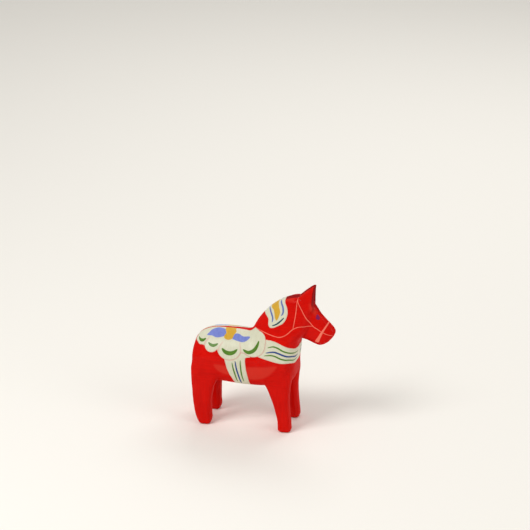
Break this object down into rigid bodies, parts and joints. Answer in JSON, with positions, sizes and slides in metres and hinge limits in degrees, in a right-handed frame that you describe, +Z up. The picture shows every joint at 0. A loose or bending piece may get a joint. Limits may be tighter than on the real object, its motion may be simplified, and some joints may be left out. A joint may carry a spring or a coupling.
{
  "type": "painted wooden horse",
  "caption": "Carved and painted wooden horse on plain sawn feet, in a glossy red coat with a brushed scalloped saddle, breast and girth bands, mane patch and bridle.",
  "frame": {"origin": "on the ground, under the middle of the horse's length and width", "axes": "+X to the nose, +Y to the horse's left, +Z up"},
  "size_m": [0.1888, 0.0692, 0.2],
  "materials": {
    "bare_pine": "matte",
    "beech_dowel": "matte",
    "red_enamel": "glossy",
    "cream_paint": "glossy",
    "blue_paint": "glossy",
    "yellow_paint": "glossy",
    "green_paint": "glossy",
    "grey_blue_paint": "glossy",
    "navy_paint": "glossy",
    "teal_paint": "glossy",
    "salmon_paint": "glossy",
    "violet_paint": "glossy"
  },
  "bodies": {
    "root": {"core_board": "bare_pine", "left_side_board": "bare_pine", "right_side_board": "bare_pine", "shoulder_dowel": "beech_dowel", "flank_dowel": "beech_dowel", "hip_dowel": "beech_dowel", "red_coat": "red_enamel", "left_saddle": "cream_paint", "right_saddle": "cream_paint", "left_saddle_leaves": "blue_paint", "right_saddle_leaves": "blue_paint", "left_saddle_flower": "yellow_paint", "right_saddle_flower": "yellow_paint", "left_saddle_crescents": "green_paint", "right_saddle_crescents": "green_paint", "breast_band": "cream_paint", "left_breast_green_lines": "green_paint", "right_breast_green_lines": "green_paint", "left_breast_blue_line": "navy_paint", "right_breast_blue_line": "navy_paint", "girth_band": "cream_paint", "left_girth_green_lines": "green_paint", "right_girth_green_lines": "green_paint", "left_girth_blue_line": "navy_paint", "right_girth_blue_line": "navy_paint", "mane_patch": "cream_paint", "mane_yellow_stroke": "yellow_paint", "left_mane_blue_lines": "grey_blue_paint", "right_mane_blue_lines": "grey_blue_paint", "left_mane_teal_line": "teal_paint", "right_mane_teal_line": "teal_paint", "left_bridle": "salmon_paint", "right_bridle": "salmon_paint", "noseband": "salmon_paint", "left_eye": "violet_paint", "right_eye": "violet_paint"}
  },
  "joints": []
}
